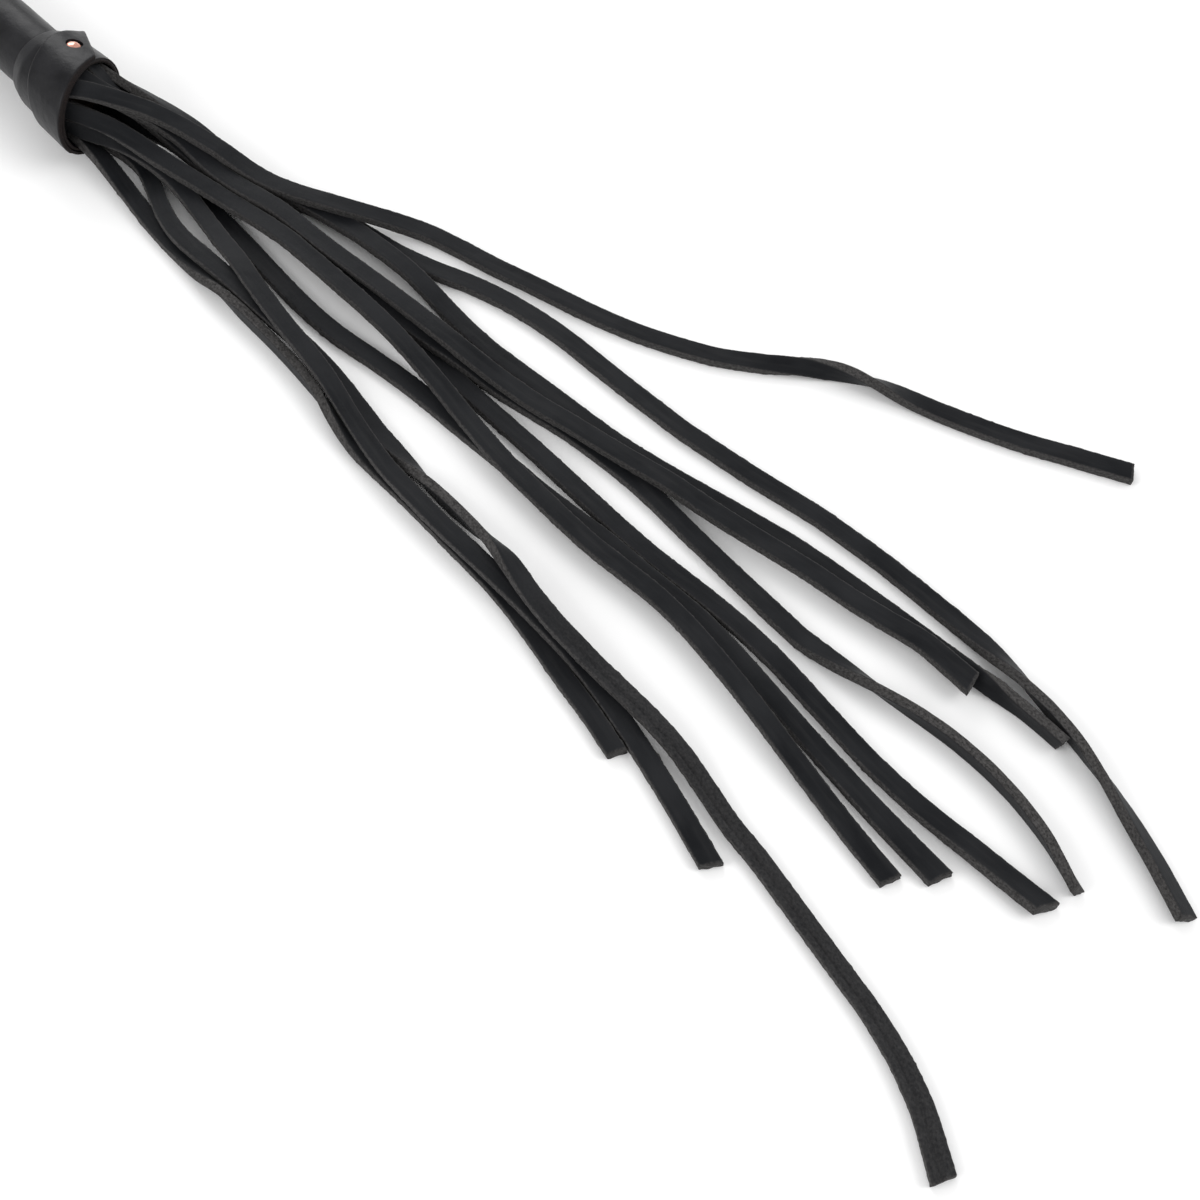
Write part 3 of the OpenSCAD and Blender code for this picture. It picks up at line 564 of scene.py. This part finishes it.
def smooth_leather(name, dark, light, rough, wrinkle=1.0, specular=0.16):
    """Smooth finished leather with soft blotches, pores and creases, and a darker red on marked edges."""
    mat, tree, bsdf = node_material(name)
    place = node(tree, "ShaderNodeTexCoord").outputs["Object"]
    edge = attribute(tree, "edge").outputs["Fac"]
    blotch = noise_of(tree, place, 120, 4, 0.6)
    pores = node(tree, "ShaderNodeTexVoronoi", Scale=1500.0)
    link(tree, place, pores.inputs["Vector"])
    crease = noise_of(tree, place, 1.0, 5, 0.6, (260, 420, 420))
    fine = noise_of(tree, place, 2600, 4, 0.6)
    skin = ramp(tree, blotch, [(0.3, dark), (0.72, light)])
    worn = mixed(tree, spread(tree, fine, 0, 1, 0.35, 0.7), (0.007, 0.006, 0.006), (0.020, 0.014, 0.013))
    link(tree, mixed(tree, edge, skin, worn), bsdf.inputs["Base Color"])
    polish = spread(tree, blotch, rough - 0.07, rough + 0.10)
    link(tree, mixed_value(tree, edge, polish, 0.85), bsdf.inputs["Roughness"])
    bsdf.inputs["Specular IOR Level"].default_value = specular
    bump(tree, bsdf, [(crease, 0.45 * wrinkle, 0.25), (pores.outputs["Distance"], 0.25, 0.05),
                      (fine, 0.25, 0.03)])
    return mat


def metal(name, colour, tarnish, rough):
    """Polished metal with a little tarnish and fine scratches."""
    mat, tree, bsdf = node_material(name)
    place = node(tree, "ShaderNodeTexCoord").outputs["Object"]
    blotch = noise_of(tree, place, 900, 4, 0.6)
    scratch = noise_of(tree, place, 1.0, 3, 0.6, (900, 9000, 2500))
    stained = spread(tree, blotch, 0, 0.8, 0.5, 0.75)
    link(tree, mixed(tree, stained, colour, tarnish), bsdf.inputs["Base Color"])
    link(tree, spread(tree, scratch, rough, rough + 0.18), bsdf.inputs["Roughness"])
    bsdf.inputs["Metallic"].default_value = 1.0
    bump(tree, bsdf, [(scratch, 0.15, 0.02)])
    return mat


def wood(name, dark, light, rough, specular):
    """Wood with its grain along the handle."""
    mat, tree, bsdf = node_material(name)
    place = node(tree, "ShaderNodeTexCoord").outputs["Object"]
    rings = noise_of(tree, place, 1.0, 5, 0.6, (40, 420, 420))
    pores = noise_of(tree, place, 1.0, 4, 0.7, (160, 2600, 2600))
    link(tree, ramp(tree, rings, [(0.32, dark), (0.68, light)]), bsdf.inputs["Base Color"])
    link(tree, spread(tree, pores, rough, rough + 0.15), bsdf.inputs["Roughness"])
    bsdf.inputs["Specular IOR Level"].default_value = specular
    bump(tree, bsdf, [(pores, 0.3, 0.06), (rings, 0.2, 0.10)])
    return mat


def thread():
    """Waxed twisted thread."""
    mat, tree, bsdf = node_material("waxed_thread")
    place = node(tree, "ShaderNodeTexCoord").outputs["Object"]
    ply = node(tree, "ShaderNodeTexWave", Scale=900.0, Distortion=1.5)
    ply.bands_direction = "DIAGONAL"
    link(tree, place, ply.inputs["Vector"])
    fuzz = noise_of(tree, place, 6000, 3, 0.6)
    dyed = ramp(tree, fuzz, [(0.3, (0.008, 0.008, 0.008)), (0.7, (0.035, 0.032, 0.030))])
    link(tree, dyed, bsdf.inputs["Base Color"])
    link(tree, spread(tree, fuzz, 0.55, 0.75), bsdf.inputs["Roughness"])
    bump(tree, bsdf, [(ply.outputs["Fac"], 0.6, 0.08), (fuzz, 0.3, 0.03)])
    return mat


def finish_with(obj, mat):
    obj.data.materials.clear()
    obj.data.materials.append(mat)


FALL = fall_leather()
COVER = smooth_leather("cover_leather", (0.0045, 0.0045, 0.0055), (0.014, 0.014, 0.016), 0.36)
COLLAR = smooth_leather("collar_leather", (0.0040, 0.0040, 0.0052), (0.013, 0.013, 0.015), 0.34, 0.9)
GRIP = smooth_leather("grip_leather", (0.008, 0.008, 0.009), (0.019, 0.019, 0.020), 0.46)
BAND = smooth_leather("band_leather", (0.006, 0.006, 0.007), (0.014, 0.014, 0.015), 0.42, 0.6)
STRAP = smooth_leather("strap_leather", (0.007, 0.007, 0.008), (0.017, 0.017, 0.018), 0.44, 0.8)
COPPER = metal("copper_rivet", (0.82, 0.42, 0.33), (0.45, 0.13, 0.09), 0.12)
BRASS = metal("brass_tack", (0.80, 0.58, 0.24), (0.52, 0.33, 0.12), 0.18)
STEEL = metal("pin_steel", (0.62, 0.62, 0.63), (0.42, 0.42, 0.43), 0.28)
THREAD = thread()
CORE = wood("core_wood", (0.020, 0.013, 0.009), (0.050, 0.033, 0.022), 0.6, 0.2)
CAP = wood("cap_wood", (0.006, 0.0045, 0.004), (0.020, 0.014, 0.011), 0.22, 0.5)

# ---- the falls ----
for number, fall in enumerate(FALLS):
    thong, line, length = make_fall(fall, number + 1.7)
    finish_with(thong, FALL)
    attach(thong, "handle")
    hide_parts(fall)

# ---- handle cover: a leather tube with soft lumps and a stitched seam underneath ----
COVER_FROM, COVER_TO, SEAM_FROM, SEAM_TO = -276, -15.5, -141, -31
CORE_R = (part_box("core_rod")[1].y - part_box("core_rod")[0].y) / 2 / MM


def cover_outer(share, a):
    x = COVER_FROM + (COVER_TO - COVER_FROM) * share
    sx, sy = math.sin(math.radians(a)), math.cos(math.radians(a))
    r = (cover_r / MM + 0.09 * wave(x / 9, sx * 1.6, sy * 1.6)
         + 0.05 * wave(x / 3.2, sx * 3.4, sy * 3.4 + 8) - 0.03)
    sideways = math.radians(abs(abs(a) - 180)) * 9
    if SEAM_FROM < x < SEAM_TO and sideways < 1.0:
        r -= 0.55 * math.cos(sideways / 1.0 * math.pi / 2) ** 0.7
    return x, r


ANGLES = list(np.linspace(-180, 180, 144, endpoint=False))
cover = shell("handle_cover_leather", list(np.linspace(0, 1, 230)), ANGLES,
              cover_outer, lambda share, a: (COVER_FROM + (COVER_TO - COVER_FROM) * share, CORE_R + 0.02))
finish_with(cover, COVER)
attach(cover, "handle")
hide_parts("handle_cover")

# ---- grip: one lace wound close round the cover ----
GRIP_FROM, GRIP_TO, TURNS = -262, -150, 22
UNDER_GRIP_R = 9.05  # just clear of the cover, mm
ROWS_A_TURN = 16
BAND_LENGTH, BAND_R, BAND_END = 8, 11.1, 0.14  # mm, mm, and the share of a band's length that is rounded


def grip_outer(share, a):
    x = GRIP_FROM + (GRIP_TO - GRIP_FROM) * share
    turn = share * TURNS - a / 360
    f = turn - math.floor(turn)
    ridge = math.sqrt(max(0, 1 - abs(2 * f - 1) ** 7))
    tug = 0.06 * wave(turn * 0.9, a / 40, 3) + 0.03 * wave(x / 1.4, a / 9, 6)
    return x, 9.75 + 0.8 * ridge + tug * ridge


grip = shell("grip_lace", list(np.linspace(0, 1, TURNS * ROWS_A_TURN + 1)), ANGLES,
             grip_outer, lambda share, a: (GRIP_FROM + (GRIP_TO - GRIP_FROM) * share, UNDER_GRIP_R))
finish_with(grip, GRIP)
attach(grip, "handle")
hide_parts("grip_wrap")

# ---- the two leather bands over the ends of the grip ----
for name, start in (("grip_band_front", -150), ("grip_band_rear", -270)):
    def band_outer(share, a, start=start):
        lap = 0.35 * max(0, 1 - abs(a - 150) / 4) - 0.12
        ripple = 0.03 * wave(a / 14, share * 3, start)
        return start + BAND_LENGTH * share, BAND_R - rounded(share, BAND_END, 0.7) + ripple + 0.1 * lap

    band = shell(name + "_leather", shares(10, BAND_END), ANGLES, band_outer,
                 lambda share, a, start=start: (start + BAND_LENGTH * share, UNDER_GRIP_R))
    add_values(band, "edge", [0.7 if s < 0.08 or s > 0.92 else 0.0 for s in shares(10, BAND_END) for _ in ANGLES]
               + [0.0] * (len(shares(10, BAND_END)) * len(ANGLES)))
    finish_with(band, BAND)
    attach(band, "handle")
    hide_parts(name)

# ---- collar: one strip wrapped twice, its free end cut on a slant and lifting at the corner ----
FIRST = 0.95  # thickness of the first wrap, mm
SECOND = 1.08  # thickness of the second wrap, mm
RIVET_X, RIVET_ANGLE = -6.5, 23  # where the rivet is, mm from the mouth and degrees from the top
HOLE_R, HOLE_FLOOR = 2.25, 11.85  # the rivet's hole in the second wrap, mm
FREE_END_ANGLE = 28  # where the free end meets the mouth, degrees from the top
EDGE_END = 0.035  # share of a wrap's length taken by its rounded edge


def collar_in(x):
    return float(np.interp(x, (-18, -13, -4, 10), (9.1, 10.6, 11, 11.35)))


def mouth_at(a, radius):
    """Where the slanted mouth lies, in mm ahead of the middle."""
    return 3.3 - 0.38 * radius * math.sin(math.radians(a))


def first_rear(a):
    return -17 - 0.5 * math.cos(math.radians(a)) + 0.2 * wave(a / 25, 1.5)


def second_rear(a):
    y, z = 12 * math.sin(math.radians(a)), 12 * math.cos(math.radians(a))
    return -8.6 - 0.314 * y - 0.288 * z + 0.4 * wave(a / 30, 7.5)


def first_outer(share, a):
    x = first_rear(a) + (mouth_at(a, 11.5) - first_rear(a)) * share
    s, c = math.sin(math.radians(a)), math.cos(math.radians(a))
    return x, collar_in(x) + FIRST - rounded(share, EDGE_END, 0.35) + 0.07 * wave(x / 5, s * 2, c * 2)


def first_inner(share, a):
    x = first_rear(a) + (mouth_at(a, 11.5) - first_rear(a)) * share
    return x, collar_in(x) + rounded(share, EDGE_END, -0.15) + 0.02


def second_wrap():
    """The second wrap as a closed sheet that winds from its free end once round and thins out under it."""
    turn = list(np.linspace(0, 1, 170))
    rows = shares(34, EDGE_END)
    verts, edge = [], []
    for layer in (0, 1):
        for a_share in turn:
            for share in rows:
                angle = 46 - 360 * a_share
                for _ in range(3):  # the free end is slanted, so the angle depends on how far along it is
                    x = second_rear(angle) + (mouth_at(angle, 12.4) - second_rear(angle)) * share
                    angle = FREE_END_ANGLE + (1.6 - x) * 2.2 - 360 * a_share
                thick = SECOND * min(1, (1.0 - a_share) / 0.30) ** 0.8 + 0.03
                s, c = math.sin(math.radians(angle)), math.cos(math.radians(angle))
                lift = 1.25 * math.exp(-a_share / 0.018) * max(0, 1 - share / 0.75) ** 1.3
                lift += 0.25 * math.exp(-a_share / 0.03)
                base = collar_in(x) + FIRST - 0.05
                soft = 0.09 * wave(x / 6, s * 2.2, c * 2.2 + 4) + 0.04 * wave(x / 2, s * 6, c * 6)
                near_rivet = math.exp(-(((x - RIVET_X) / 3.6) ** 2 + ((angle - RIVET_ANGLE) / 17) ** 2))
                if layer == 0:
                    r = base + thick + lift + soft - 0.22 * near_rivet
                    r -= rounded(share, EDGE_END, 0.40 * min(1, thick))
                    r -= 0.35 * max(0, 1 - a_share / 0.006)
                else:
                    r = base + lift
                r = min(r, axis_z / MM - 0.02 if abs(angle + 180) < 60 else 14.2)
                verts.append(around_axis(x, r, angle))
                rim = max(0, 1 - min(share, 1 - share) / (EDGE_END * 0.7), 1 - a_share / 0.006)
                edge.append(min(1, rim))
    n, m = len(rows), len(turn)
    faces = []
    top, low = 0, n * m
    for i in range(m - 1):
        for j in range(n - 1):
            p = i * n + j
            faces.append((top + p, top + p + 1, top + p + n + 1, top + p + n))
            faces.append((low + p, low + p + n, low + p + n + 1, low + p + 1))
    for i in range(m - 1):
        for j in (0, n - 1):
            p = i * n + j
            faces.append((top + p, top + p + n, low + p + n, low + p))
    for j in range(n - 1):
        for i in (0, m - 1):
            p = i * n + j
            faces.append((top + p, top + p + 1, low + p + 1, low + p))
    obj = new_object("front_collar_outer", verts, faces)
    fix_normals(obj)
    add_values(obj, "edge", edge)
    return obj


ring_rows = shares(26, EDGE_END)
collar = shell("front_collar_leather", ring_rows, ANGLES, first_outer, first_inner)
rim = [max(0, 1 - min(s, 1 - s) / (EDGE_END * 0.7)) for s in ring_rows]
add_values(collar, "edge", [e for e in rim for _ in ANGLES] + [e for e in reversed(rim) for _ in ANGLES])
outer = second_wrap()
rivet_low, rivet_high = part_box("collar_rivet")
rivet = (rivet_low + rivet_high) / 2
out = Vector((0, rivet.y, rivet.z - axis_z)).normalized()
bpy.ops.mesh.primitive_cylinder_add(vertices=48, radius=HOLE_R * MM, depth=6 * MM,
                                    location=MOUTH + Vector((RIVET_X * MM, 0, 0)) + out * (HOLE_FLOOR + 3) * MM)
cutter = bpy.context.object
cutter.rotation_mode = "QUATERNION"
cutter.rotation_quaternion = out.to_track_quat("Z", "Y")
bpy.context.view_layer.update()
hole = outer.modifiers.new("hole", "BOOLEAN")
hole.operation, hole.object, hole.solver = "DIFFERENCE", cutter, "EXACT"
bpy.context.view_layer.update()
cut = bpy.data.meshes.new_from_object(outer.evaluated_get(bpy.context.evaluated_depsgraph_get()))
outer.modifiers.clear()
outer.data = cut
bpy.data.objects.remove(cutter)
outer.data.polygons.foreach_set("use_smooth", [True] * len(outer.data.polygons))
outer.data.set_sharp_from_angle(angle=math.radians(50))
for part in (collar, outer):
    finish_with(part, COLLAR)
    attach(part, "handle")
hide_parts("front_collar")

# ---- wrist strap: one strap folded round the pin, both legs together and then the loop ----
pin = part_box("strap_pin")
pin_x = ((pin[0].x + pin[1].x) / 2 - mouth_x) / MM
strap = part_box("wrist_strap")
STRAP_T = 1.8
STRAP_W = (strap[1].z - strap[0].z) / MM
LOOP_R = 22.5
loop_x = (strap[0].x - mouth_x) / MM + LOOP_R + STRAP_T / 2
FORK_X, LEG_Y, EYE_R = -352, 1.0, 1.56 + STRAP_T / 2
AXIS = axis_z / MM
fork_angle = math.asin((LOOP_R - LEG_Y) / (FORK_X - loop_x))
eye = [(pin_x + EYE_R * math.cos(a), EYE_R * math.sin(a), AXIS) for a in np.linspace(-2.2, 2.2, 41)]
leg = [(x, LEG_Y, AXIS) for x in np.linspace(pin_x - 5.5, FORK_X, 60)]
bow = [(loop_x + LOOP_R * math.cos(a), LOOP_R * math.sin(a), AXIS)
       for a in np.linspace(math.pi / 2 - fork_angle, 1.5 * math.pi + fork_angle, 160)]
back = [(x, -LEG_Y, AXIS) for x in np.linspace(FORK_X, pin_x - 5.5, 60)]
_, strap_path = along(np.array(eye + leg + bow + back + eye[:1]), 0.5)
strap_path = smoothed(strap_path, 3.0)[:-1]
loop = wrap_mesh("wrist_strap_leather", strap_path, (0, 0, 1), STRAP_W, STRAP_T, 0.4, 0.6)
finish_with(loop, STRAP)
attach(loop, "strap")
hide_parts("wrist_strap")

# ---- keeper: a narrow band round both legs ----
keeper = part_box("strap_keeper")
KEEP_T = 1.3
half_y = keeper[1].y / MM - KEEP_T / 2
half_z = (keeper[1].z - axis_z) / MM - KEEP_T / 2
keep_x = ((keeper[0].x + keeper[1].x) / 2 - mouth_x) / MM
CORNER = 0.9
ring = []
for cy, cz, a0 in ((1, 1, 0), (-1, 1, 90), (-1, -1, 180), (1, -1, 270)):
    for a in np.linspace(a0, a0 + 90, 9):
        ring.append((keep_x, cy * (half_y - CORNER) + CORNER * math.cos(math.radians(a)),
                     AXIS + cz * (half_z - CORNER) + CORNER * math.sin(math.radians(a))))
band = wrap_mesh("strap_keeper_leather", ring, (1, 0, 0), (keeper[1].x - keeper[0].x) / MM, KEEP_T, 0.3, 0.25)
finish_with(band, BAND)
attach(band, "keeper")
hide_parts("strap_keeper")

# ---- the CAD pieces that show as they are ----
shown = {"core_rod": CORE, "cover_stitches": THREAD, "root_binding": THREAD, "band_tacks": BRASS,
         "collar_rivet": COPPER, "rivet_burr": COPPER, "butt_cap": CAP, "strap_pin": STEEL}
for name, mat in shown.items():
    finish_with(NODES[name], mat)
    NODES[name].data.polygons.foreach_set("use_smooth", [True] * len(NODES[name].data.polygons))
    NODES[name].data.set_sharp_from_angle(angle=math.radians(35))

# ---- floor and light ----
floor = new_object("floor", [(-4, -4, 0), (4, -4, 0), (4, 4, 0), (-4, 4, 0)], [(0, 1, 2, 3)], smooth=False)
paper, tree, bsdf = node_material("paper")
bsdf.inputs["Base Color"].default_value = (0.95, 0.95, 0.95, 1)
bsdf.inputs["Roughness"].default_value = 0.9
bsdf.inputs["Specular IOR Level"].default_value = 0.1
finish_with(floor, paper)


def soft_light(name, location, size, watts, target=(0.2, 0, 0)):
    light = bpy.data.lights.new(name, "AREA")
    light.shape, light.size, light.energy = "SQUARE", size, watts
    obj = bpy.data.objects.new(name, light)
    bpy.context.scene.collection.objects.link(obj)
    obj.location = location
    obj.rotation_euler = (Vector(target) - Vector(location)).to_track_quat("-Z", "Y").to_euler()
    return obj


soft_light("light_back", (-1.1, 0.8, 1.0), 1.0, 12)
soft_light("light_left", (-0.3, -1.5, 1.1), 1.2, 14)
soft_light("light_right", (1.5, 1.0, 1.1), 1.2, 14)
world = bpy.data.worlds.new("studio")
world.use_nodes = True
world.node_tree.nodes["Background"].inputs["Color"].default_value = (1, 1, 1, 1)
world.node_tree.nodes["Background"].inputs["Strength"].default_value = 0.72
bpy.context.scene.world = world
bpy.context.scene.view_settings.view_transform = "Standard"
